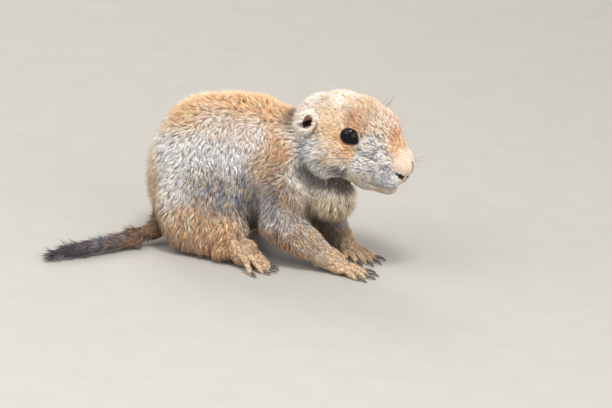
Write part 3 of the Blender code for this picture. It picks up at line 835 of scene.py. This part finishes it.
def grow(tufts, rng):
    """The blades of the tufts, each as a path of three points with its width and its facing."""
    roots, outwards = tufts["root"], tufts["outwards"]
    count = len(roots)
    coat = coat_at(roots)
    way = unit(coat["way"] - outwards * (coat["way"] * outwards).sum(1)[:, None])
    way = turned(way, outwards, mottle(roots, 6, 1) * 0.5 + rng.normal(0, 0.22, count))
    paint = pick_paint(coat, rng.random(count), mottle(roots, 5, 2))
    # Each tuft's paint varies at random in tone, and is darker in hollows such as between the toes, as
    # painted shade.
    tone_and_hollow_shade = rng.normal(0, 0.1, count) + 0.14 * mottle(roots, 3, 3) - tufts["hollow"]
    paint = paint * np.exp(tone_and_hollow_shade)[:, None]
    spread = 0.55 * np.sqrt(BLADES * coat["width"] * coat["length"] / COVER) * MM
    blades = []
    for number in range(BLADES):
        angle = rng.uniform(0, math.tau, count)
        offset = turned(way, outwards, angle) * (spread * rng.uniform(0.3, 1, count))[:, None]
        length = coat["length"] * rng.uniform(0.7, 1.15, count) * MM
        facing = turned(way, outwards, rng.normal(0, 0.12, count))
        facing = unit(facing - offset * 0.9 / length[:, None])
        lift = np.radians(coat["lift"] * rng.uniform(0.75, 1.25, count))
        sunk = np.minimum(DEEPEST_ROOT * MM, length * 0.1)[:, None]
        path = [roots + offset - outwards * sunk]
        for share, step in BEND:
            bend = np.clip(lift + step, 0.02, 1.5)
            ahead = facing * np.cos(bend)[:, None] + outwards * np.sin(bend)[:, None]
            path.append(path[-1] + ahead * (length * share)[:, None])
        blade = {"path": np.stack(path, axis=1), "facing": facing, "paint": paint}
        blade["width"] = coat["width"] * rng.uniform(0.75, 1.2, count) * MM
        blade["strip"] = np.full(count, number / BLADES)
        blades.append({**tufts, **blade, "place": coat["nearest"]})
    return joined(blades)


# The slot of each piece of coat and the styles in it.
GROUPS = {
    "head": (
        "coat_face",
        "crown nape ear forehead temple eye_patch under_eye brow bridge nose_root muzzle lip cheek jowl "
        "smudge throat chin nose",
    ),
    "trunk": (
        "coat_back",
        "spine back rump hip flank slate_flank fringe tail_base belly neck_band shoulder chest "
        "chest_low vent",
    ),
    "legs": (
        "coat_grey",
        "thigh thigh_front thigh_low groin shoulder_low upper_arm arm_front forearm elbow inner_arm",
    ),
    "paws": ("paw_skin", "paw toes"),
    "tail": ("coat_tail", "tail_root tail tail_tip"),
}

# Width and height of a blade's root and middle, as shares of its width.
SECTIONS = ((0.85, 0.38), (1, 0.42))


def blade_mesh(name, blades, material):
    """Builds many blades as one mesh: each is a slim three-sided spike with a ridge along its top."""
    path, outwards, width = blades["path"], blades["outwards"], blades["width"]
    across = np.cross(blades["facing"], outwards)
    rings = []
    for step, (wide, high) in enumerate(SECTIONS):
        half = across * (width * wide / 2)[:, None]
        ridge = outwards * (width * high)[:, None]
        middle = path[:, step]
        rings += [middle - half, middle + half, middle + ridge]
    points = np.stack([*rings, path[:, 2]], axis=1)
    points[:, :, 2] = np.maximum(points[:, :, 2], FLOOR_CLEARANCE * MM)
    faces = [(0, 1, 2)]
    for i in range(3):
        j = (i + 1) % 3
        faces += [(i, 3 + i, 3 + j), (i, 3 + j, j), (3 + i, 6, 3 + j)]
    every = (np.array(faces)[None] + 7 * np.arange(len(path))[:, None, None]).reshape(-1, 3)
    mesh = bpy.data.meshes.new(name)
    mesh.from_pydata(points.reshape(-1, 3), [], every)
    along = np.tile(np.repeat([0, 0.45, 1], [3, 3, 1]), len(path))
    side = np.tile([0, 1, 0.5] * 2 + [0.5], len(path))
    strip = (np.repeat(blades["strip"], 7) + side / BLADES - 0.5) * TUFT_PATCH
    flat = np.repeat(blades["flat"], 7, axis=0) + np.stack([strip, (along - 0.5) * TUFT_PATCH], axis=1)
    layer = mesh.uv_layers.new(name="OFBake")
    layer.data.foreach_set("uv", flat[every.ravel()].astype(np.float32).ravel())
    layer = mesh.attributes.new("along", "FLOAT", "POINT")
    layer.data.foreach_set("value", along.astype(np.float32))
    add_paint(mesh, np.repeat(blades["paint"], 7, axis=0))
    return finish_mesh(placed(name, mesh), material)


def add_paint(mesh, paint):
    """Stores the colour of every vertex."""
    colours = np.ones((len(paint), 4), np.float32)
    colours[:, :3] = np.clip(paint, 0, 1)
    layer = mesh.attributes.new("paint", "FLOAT_COLOR", "POINT")
    layer.data.foreach_set("color", colours.ravel())


def on_show(blades):
    """Which blades are kept: none over an eye, in an ear, in the mouth, between toes or under a foot."""
    on_toes = np.array([style == "toes" for style, *_ in PLACES])[blades["place"]]
    height, facing_up = blades["path"][:, 0, 2] / MM, blades["outwards"][:, 2]
    keep = openness(blades["path"][:, 0]) < 0.02
    keep &= ~on_toes | (blades["hollow"] < BARE_HOLLOW)
    near_side = (facing_up > LOWEST_FACING) & (height > 1.3)
    keep &= (facing_up > -0.35) | (height > UNDERFOOT) | near_side
    for side in SIDES:
        for points in blades["path"].transpose(1, 0, 2):
            keep &= ~over_the_eye(points, side)
            keep &= ~in_the_ear(points, side, np.where(blades["extra"], 0.6, 0.92))
    return keep


def make_coat(skin, ears, lids, material):
    """Grows the coat and returns its pieces with the slot of each."""
    rng = np.random.default_rng(SEED)
    flat_near = skin_map(skin.data)
    tufts = [scatter(skin.data, rng)]
    for side, ear, rim in zip(SIDES, ears, lids):
        for piece, bare in ((rim, bare_lid), (ear, bare_ear)):
            tufts.append(extra_tufts(piece.data, bare, side, flat_near, rng))
    blades = grow(joined(tufts), rng)
    keep = on_show(blades)
    pieces = []
    for group, (slot, styles) in GROUPS.items():
        members = np.array([style in styles.split() for style, *_ in PLACES])
        chosen = np.flatnonzero(keep & members[blades["place"]])
        chosen = chosen[np.argsort(blades["path"][chosen, 0, 0], kind="stable")]
        parts = math.ceil(len(chosen) / MOST_BLADES_IN_A_PIECE)
        for number, part in enumerate(np.array_split(chosen, parts), 1):
            values = {key: rows[part] for key, rows in blades.items()}
            pieces.append((blade_mesh(f"coat_{group}_{number}", values, material), slot))
    return pieces


# Eyes, lids and ears


def ear_centre(side):
    low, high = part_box("ear_" + SIDE_NAMES[side])
    return (low + high) / 2


def in_ear_frame(points, side):
    """Points in the ear's own frame, in millimetres, with y pointing out of the head."""
    turn = np.array((Matrix.Translation(ear_centre(side)) @ HEAD.to_3x3().to_4x4()).inverted())
    return (points @ turn[:3, :3].T + turn[:3, 3]) / MM * (1, side, 1)


def from_ear_hole(forward, rise):
    """How far points are from the ear's slanting hole, where 1 is just past its edge."""
    forward, rise = forward - EAR_HOLE_AT[0], rise - EAR_HOLE_AT[2]
    return np.hypot((forward + rise) / 3.9, (rise - forward) / 1.9)


def in_the_ear(points, side, share):
    """Which points lie in or over the ear, out to a share of its size, or over its hole."""
    forward, out, rise = in_ear_frame(points, side).T
    inside = np.hypot(forward / EAR_RADII[0], rise / EAR_RADII[2]) < share
    inside |= from_ear_hole(forward, rise) < 0.9
    return inside & (out > -4) & (out < 5)


def skin_map(mesh):
    """Finds the place on the skin's map that is nearest to a point."""
    tree = kdtree.KDTree(len(mesh.vertices))
    for vertex in mesh.vertices:
        tree.insert(vertex.co, vertex.index)
    tree.balance()
    flat = np.zeros((len(mesh.vertices), 2))
    flat[read(mesh.loops, "vertex_index", 1, np.int32)] = read(mesh.uv_layers["OFBake"].data, "uv", 2)
    return lambda point: flat[tree.find(point)[1]]


def extra_tufts(mesh, bare, side, flat_near, rng):
    """Tufts on an ear or the lids."""
    corners, crossed, area = triangles_of(mesh)
    middle, outwards = corners.mean(1), unit(crossed)
    crowd = EXTRA_CROWD * ~bare(middle, outwards, side)
    count = np.floor(area * crowd + rng.random(len(area))).astype(int)
    chosen = np.repeat(np.arange(len(area)), count)
    return {
        "root": middle[chosen],
        "outwards": outwards[chosen],
        "flat": np.array([flat_near(point) for point in middle[chosen]]),
        "hollow": np.zeros(len(chosen)),
        "extra": np.ones(len(chosen), bool),
    }


def bare_ear(points, normals, side):
    """Which points lie in the cup of the ear, where no tufts grow."""
    return in_the_ear(points, side, 0.8) & (in_ear_frame(points, side)[:, 1] > -1)


def bare_lid(points, normals, side):
    """Which points lie on the damp edge or the inside of the lids, where no tufts grow."""
    around, angle, _ = round_the_eye(points, side)
    away = unit(points - np.array(eye_frame(side).translation))
    return (angle < lid_angle(around) + 4) | ((normals * away).sum(1) < 0.3)


def make_eye(side, material):
    """A glossy eyeball."""
    bm = bmesh.new()
    place = eye_frame(side) @ Matrix.Diagonal((EYE_RADIUS * MM, EYE_RADIUS * MM, EYE_RADIUS * MM, 1))
    bmesh.ops.create_uvsphere(bm, u_segments=72, v_segments=48, radius=1, matrix=place)
    eye = object_from(bm, "eyeball_" + SIDE_NAMES[side])
    return finish_mesh(eye, material)


# The lid's section from the opening outwards: degrees beyond the opening, radius and paint.
LID_SECTION = [
    (-0.6, 4.85, "black"),
    # The charcoal ring on the inner edge is a painted highlight of the wet rim.
    (-1, 5.15, "charcoal"),
    (-0.4, 5.3, "black"),
    (1.2, 5.38, "black"),
    (3, 5.32, "black"),
    (5, 5.24, "dark_brown"),
    (8, 5.15, "rust"),
    (13, 5.15, "tan"),
    (18, 5.3, "tan"),
    (23, 5.5, "tan"),
    (23, 4.6, "tan"),
]
LID_STEPS = 96


def make_lids(side, material):
    """The rim of both lids, as a closed ring that follows the opening."""
    place = eye_frame(side)
    bm = bmesh.new()
    rings = []
    for i in range(LID_STEPS):
        turn = math.tau * i / LID_STEPS
        ring = []
        for wider, radius, _ in LID_SECTION:
            angle = math.radians(lid_angle(turn) + wider)
            across, level = math.sin(angle) * radius, math.cos(angle) * radius
            point = Vector((across * math.cos(turn), -side * across * math.sin(turn), level))
            ring.append(bm.verts.new(place @ (point * MM)))
        rings.append(ring)
    for first, second in zip(rings, rings[1:] + rings[:1]):
        for j in range(len(LID_SECTION)):
            k = (j + 1) % len(LID_SECTION)
            bm.faces.new((first[j], first[k], second[k], second[j]))
    bmesh.ops.recalc_face_normals(bm, faces=bm.faces)
    lids = object_from(bm, "lids_" + SIDE_NAMES[side])
    add_paint(lids.data, np.tile([linear(paint) for _, _, paint in LID_SECTION], (LID_STEPS, 1)))
    return finish_mesh(lids, material)


def make_ear(side, material):
    """A small cupped flap with the ear hole low at the back."""
    place = Matrix.Translation(ear_centre(side)) @ HEAD.to_3x3().to_4x4()
    forward, out, rise = EAR_HOLE_AT
    hole = place @ frame_at((forward, side * out, rise), pitch=-45)
    ear = egg(place, (0, 0, 0), EAR_RADII)
    combine(ear, egg(place, (0.1, side * 2.4, -0.2), (2.4, 2.6, 3.6)))
    combine(ear, egg(hole, (0, 0, 0), (2.3, 2.2, 0.95)))
    ear.name = "ear_flap_" + SIDE_NAMES[side]
    fuse(ear, voxel=0.2, rounds=3)
    forward, _, rise = in_ear_frame(read(ear.data.vertices, "co", 3), side).T
    in_hole = from_ear_hole(forward, rise)[:, None]
    in_cup = np.hypot(forward / 2.6, rise / 3.8)[:, None]
    paint = mixed(linear("paw_shade"), linear("snow"), in_cup * 4 - 3.2)
    # Brown round the ear hole, turning black in it, is painted shade in the hollow.
    paint = mixed(paint, linear("brown"), 1.9 - in_hole)
    add_paint(ear.data, mixed(paint, linear("black"), 3.1 - in_hole * 2.4))
    return finish_mesh(ear, material)


# Claws and whiskers


def claw(bm, place, start, yaw, length, radius):
    """A claw that leaves the toe tip nearly level and curves down to a fine tip."""
    path = []
    for share, drop in ((-0.3, 0), (0.1, 0), (0.45, 0.03), (0.8, 0.14), (0.93, 0.21), (1, 0.27)):
        point = place @ ((start + heading(yaw) * share * length - UP * drop * length) * MM)
        point.z = max(point.z, 0.3 * MM)
        path.append(point)
    tube(bm, path, [radius * share for share in (0.9, 1, 0.85, 0.55, 0.32, 0.08)], UP, sides=12)


def make_claws(end, side, material):
    paws, _, _, size = PAWS[end]
    bm = bmesh.new()
    for _, yaw, _, thick, _, tip in toes_of(end, side):
        claw(bm, BODY @ frame_at(*paws[side]), tip + heading(yaw) * thick * 0.5 + UP * 0.6, yaw, *size)
    return finish_mesh(object_from(bm, f"{end}_claws_{SIDE_NAMES[side]}"), material)


# Whiskers in rows, each as its place on the right side of the head, its length and its way.
WHISKER_ROWS = [
    ((20.5, 7.8, -2.6), 15, (0.85, 1, 0.2)),
    ((19, 8.6, -5), 17, (0.65, 1, 0)),
    ((17.2, 9.4, -7), 15, (0.45, 1, -0.2)),
    ((15, 10, -4), 12, (0.3, 1, 0.1)),
    ((6, 9.4, 17), 9, (0.5, 0.35, 1)),
]


def make_whiskers(side, material):
    """Fine bristles on the muzzle and over the eye, each bent in one even curve."""
    rng = np.random.default_rng(SEED + side)
    bm = bmesh.new()
    for (x, y, z), length, (forward, out, rise) in WHISKER_ROWS:
        for _ in range(4):
            start = Vector((x + rng.uniform(-1.4, 1.4), side * (y - 1.2), z + rng.uniform(-0.9, 0.9)))
            way = Vector((forward + rng.uniform(-0.2, 0.2), side * out, rise + rng.uniform(-0.15, 0.15)))
            reach = length * rng.uniform(0.75, 1.1)
            path = []
            for step in np.linspace(0, 1, 8):
                bend = Vector((-0.12, 0, -0.1)) * step**2
                path.append(HEAD @ ((start + (way.normalized() * step + bend) * reach) * MM))
            tube(bm, path, np.linspace(0.075, 0.015, 8), UP, sides=5)
    return finish_mesh(object_from(bm, "whiskers_" + SIDE_NAMES[side]), material)


# Materials


class Value:
    """A socket of a shader that can stand in Python sums."""

    def __init__(self, finish, socket):
        self.finish = finish
        self.socket = socket

    def sum_with(self, operation, other):
        return self.finish.node("ShaderNodeMath", {0: self, 1: other}, operation=operation)

    def __add__(self, other):
        return self.sum_with("ADD", other)

    def __mul__(self, other):
        return self.sum_with("MULTIPLY", other)


class Finish:
    """A material in the making."""

    def __init__(self, name, **fixed):
        self.material = bpy.data.materials.new(name)
        self.material.use_nodes = True
        self.tree = self.material.node_tree
        self.shader = self.tree.nodes["Principled BSDF"]
        for socket, value in fixed.items():
            self.shader.inputs[socket.replace("_", " ")].default_value = value

    def plug(self, socket, value):
        if isinstance(value, Value):
            self.tree.links.new(value.socket, socket)
        else:
            socket.default_value = value

    def feed(self, name, value):
        self.plug(self.shader.inputs[name], value)

    def node(self, kind, sockets, output=0, **settings):
        """Makes a node: its settings first, then the values or links of its sockets."""
        node = self.tree.nodes.new(kind)
        for name, value in settings.items():
            setattr(node, name, value)
        for name, value in sockets.items():
            self.plug(node.inputs[name], value)
        return Value(self, node.outputs[output])

    def attribute(self, name, output="Fac"):
        return self.node("ShaderNodeAttribute", {}, output, attribute_name=name)

    def noise(self, scale, detail=2, roughness=0.5):
        place = self.node("ShaderNodeTexCoord", {}, "Object")
        sockets = {"Vector": place, "Scale": scale, "Detail": detail, "Roughness": roughness}
        return self.node("ShaderNodeTexNoise", sockets)

    def span(self, value, start, end, low=0.3, high=0.7):
        """Maps a value from low to high onto start to end, held there at both ends."""
        sockets = {"Value": value, "From Min": low, "From Max": high, "To Min": start, "To Max": end}
        return self.node("ShaderNodeMapRange", sockets, clamp=True)

    def blend(self, share, first, second, how="MIX"):
        """Mixes two colours."""
        sockets = {0: share, 6: first, 7: second}
        return self.node("ShaderNodeMix", sockets, 2, data_type="RGBA", blend_type=how)

    def show_paint(self, light):
        """Shows the paint stored on the mesh, times a light."""
        grey = self.node("ShaderNodeCombineColor", {0: light, 1: light, 2: light})
        self.feed("Base Color", self.blend(1.0, self.attribute("paint", "Color"), grey, "MULTIPLY"))

    def bump(self, height, distance, strength=1.0):
        sockets = {"Height": height, "Distance": distance * MM, "Strength": strength}
        self.feed("Normal", self.node("ShaderNodeBump", sockets))


def coat_finish():
    """Hair that is darker at the root, partly its own darker base and partly painted shade deep in the
    coat, and pale along its length.
    """
    hair = Finish("coat", Roughness=0.62, Sheen_Weight=0.25, Sheen_Roughness=0.4)
    # Darker towards the root: partly the hairs' own darker base, partly painted shade deep in the coat.
    root = hair.span(hair.attribute("along"), 0.8, 1.06, low=0, high=0.6)
    hair.show_paint(root * hair.span(hair.noise(900, 1), 0.94, 1.06))
    return hair.material


def skin_finish():
    """Skin with fine creases and the marks of the coat over it."""
    skin = Finish("skin")
    speck = skin.noise(700, 3, 0.6)
    fold = skin.noise(260, 4, 0.6)
    skin.show_paint(skin.span(speck, 0.78, 1.08) * skin.span(fold, 0.85, 1.08))
    skin.feed("Roughness", skin.span(fold, 0.5, 0.72))
    skin.bump(speck * 0.5 + fold, 0.25, 0.7)
    return skin.material


def eye_finish():
    """A black-brown eye under a clear wet surface."""
    eye = Finish("eye", Roughness=0.04, Specular_IOR_Level=0.15)
    fleck = eye.noise(500, 2)
    eye.feed("Base Color", eye.blend(fleck, (0.002, 0.002, 0.003, 1), (0.006, 0.005, 0.005, 1)))
    return eye.material


def bare_finish(name, roughness, grain, light, depth):
    """Bare skin of the lids or ears, in the paint of its mesh."""
    bare = Finish(name, Roughness=roughness)
    crease = bare.noise(grain, 3)
    bare.show_paint(bare.span(crease, *light))
    bare.bump(crease, depth)
    return bare.material


def claw_finish():
    """Horn, blue-black with a pale sheen."""
    horn = Finish("claw_horn", Roughness=0.34, Coat_Weight=0.3)
    band = horn.noise(500, 2)
    horn.feed("Base Color", horn.blend(band, (0.02, 0.018, 0.017, 1), (0.12, 0.105, 0.09, 1)))
    horn.bump(band, 0.05)
    return horn.material


def whisker_finish():
    hair = Finish("whisker", Roughness=0.4)
    dark, pale = (*linear("dark_brown"), 1), (*linear("brown"), 1)
    hair.feed("Base Color", hair.blend(hair.noise(300, 1), dark, pale))
    return hair.material


def floor_finish():
    floor = Finish("pale_floor", Roughness=0.85)
    grain = floor.noise(60, 3)
    floor.feed("Base Color", floor.blend(grain, (0.36, 0.335, 0.295, 1), (0.4, 0.37, 0.325, 1)))
    return floor.material


def openness(points):
    """How far points lie in the nostrils, the mouth or the cleft of the lip, from 0 to 1."""
    turn = np.array(HEAD.inverted())
    x, y, z = ((points @ turn[:3, :3].T + turn[:3, 3]) / MM).T
    y = np.abs(y)
    nearest = np.full(len(points), 9.0)
    for along, out, rise, radius in NOSTRIL:
        away = np.sqrt((x - along) ** 2 + (y - out) ** 2 + (z - rise) ** 2)
        nearest = np.minimum(nearest, away / radius)
    in_nostril = 3.6 - nearest * 2.4
    in_cleft = np.where((x > 24) & (z > -12.6) & (z < -6), 2.2 - y / 0.25, 0)
    in_midline = np.where((x > 27) & (z > -6) & (z < 1.5), 1.6 - y / 0.55, 0) * 0.75
    in_mouth = np.where(x > 11.5, 2.4 - np.abs(z + 12.3 + (x - 20.6) * 0.087) / 0.28, 0)
    return np.clip(np.maximum.reduce([in_nostril, in_cleft, in_midline, in_mouth]), 0, 1)


def paint_skin(skin):
    """Gives the skin the marks of the coat, darkened as painted shade where fur covers it and in
    hollows, and pale where it is bare.
    """
    points = read(skin.data.vertices, "co", 3)
    coat = coat_at(points)
    mean = coat["paints"][:, 0] * (1 - coat["shares"].sum(1))[:, None]
    mean += coat["paints"][:, 1] * coat["shares"][:, :1] + coat["paints"][:, 2] * coat["shares"][:, 1:]
    # Skin under the fur and in hollows is darkened as painted shade.
    cover = np.clip((coat["length"] - 1) / 2.5, 0, 1)[:, None]
    mean *= (0.95 - 0.25 * cover) * np.exp(-hollows(skin.data))[:, None]
    # Nostrils, mouth, lip cleft and the nose's midline are painted black as painted shade inside them;
    # near each eye the skin at the lids' edge is painted black for the lids' dark rim.
    dark = openness(points)
    for side in SIDES:
        around, angle, distance = round_the_eye(points, side)
        near = distance < EYE_RADIUS * 1.7 * MM
        dark = np.where(near, np.maximum(dark, np.clip((lid_angle(around) + 5 - angle) / 3, 0, 1)), dark)
    add_paint(skin.data, mixed(mean, linear("black"), dark[:, None]))


# Stage, light and camera

# Each lamp's name, place in metres, size, watts and tint.
LAMPS = [
    ("key", (-0.7, -0.6, 1), 1.1, 12, (1, 0.985, 0.96)),
    ("fill", (0.8, -1, 0.4), 1, 9, (0.97, 0.98, 1)),
    ("back", (-0.3, 0.9, 0.8), 0.6, 5, (1, 0.97, 0.92)),
    ("catch", (0.06, -0.62, 1.16), 0.26, 12, (0.9, 0.95, 1)),
]


def make_stage():
    bm = bmesh.new()
    bmesh.ops.create_grid(bm, x_segments=8, y_segments=8, size=3)
    floor = object_from(bm, "floor")
    finish_mesh(floor, floor_finish())
    floor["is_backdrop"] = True
    for lamp in LAMPS:
        add_lamp(*lamp)
    world = bpy.data.worlds.new("studio")
    bpy.context.scene.world = world
    world.use_nodes = True
    sockets = world.node_tree.nodes["Background"].inputs
    sockets["Color"].default_value = (0.95, 0.97, 1, 1)
    sockets["Strength"].default_value = 0.66


def add_lamp(name, place, size, watts, tint):
    """A square soft lamp that faces the animal."""
    light = bpy.data.lights.new(name, "AREA")
    light.size = size
    light.energy = watts
    light.color = tint
    lamp = placed(name, light)
    lamp.location = place
    lamp.rotation_euler = (Vector((0, 0, 0.03)) - Vector(place)).to_track_quat("-Z", "Y").to_euler()


LOOK_AT = (33.2, 7.9, 20.6)
CAMERA_TILT, CAMERA_ROLL, CAMERA_DISTANCE = 17, 5, 2.992


def add_camera():
    """A long lens at the photograph's angle, rolled so that the mound it stood on lies level."""
    tilt, roll = math.radians(CAMERA_TILT), math.radians(CAMERA_ROLL)
    back = Vector((0, -math.cos(tilt), math.sin(tilt)))
    level_up = Vector((0, math.sin(tilt), math.cos(tilt)))
    right = Vector((1, 0, 0)) * math.cos(roll) + level_up * math.sin(roll)
    upright = -Vector((1, 0, 0)) * math.sin(roll) + level_up * math.cos(roll)
    lens = bpy.data.cameras.new("camera")
    lens.lens = 400
    lens.sensor_width = 36
    camera = placed("camera", lens)
    axes = Matrix((right, upright, back)).transposed().to_4x4()
    camera.matrix_world = Matrix.Translation(Vector(LOOK_AT) * MM + back * CAMERA_DISTANCE) @ axes
    bpy.context.scene.camera = camera


def carry(piece, slot, *nodes):
    """Puts a piece on the body, in place of the nodes that it stands for."""
    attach(piece, "root")
    if nodes:
        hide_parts(*nodes)


def main():
    add_camera()
    make_stage()
    skin = make_skin()
    paint_skin(skin)
    finish_mesh(skin, skin_finish())
    legs = ["foreleg", "forepaw", "hindleg", "hindfoot"]
    limbs = [f"{leg}_{SIDE_NAMES[side]}" for leg in legs for side in SIDES]
    carry(skin, "paw_skin", "torso", "neck", "head", "tail", *limbs)
    ear_skin = bare_finish("ear_skin", 0.6, 900, (0.75, 1.1), 0.15)
    lid_skin = bare_finish("lid_skin", 0.5, 1400, (0.7, 1.2), 0.08)
    ears = [make_ear(side, ear_skin) for side in SIDES]
    lids = [make_lids(side, lid_skin) for side in SIDES]
    for piece, slot in make_coat(skin, ears, lids, coat_finish()):
        carry(piece, slot)
    eye, horn, bristle = eye_finish(), claw_finish(), whisker_finish()
    for side, ear, lid in zip(SIDES, ears, lids):
        name = SIDE_NAMES[side]
        carry(make_eye(side, eye), "eye", "eye_" + name)
        carry(lid, "eye")
        carry(ear, "coat_face", "ear_" + name)
        carry(make_whiskers(side, bristle), "coat_face")
        for end in PAWS:
            carry(make_claws(end, side, horn), "paw_skin")
    bpy.context.scene.view_settings.view_transform = "Standard"
    boxes = {"cad": CAD_BOX, "visual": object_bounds()}
    sizes = {name: [list(corner) for corner in box] for name, box in boxes.items()}


main()
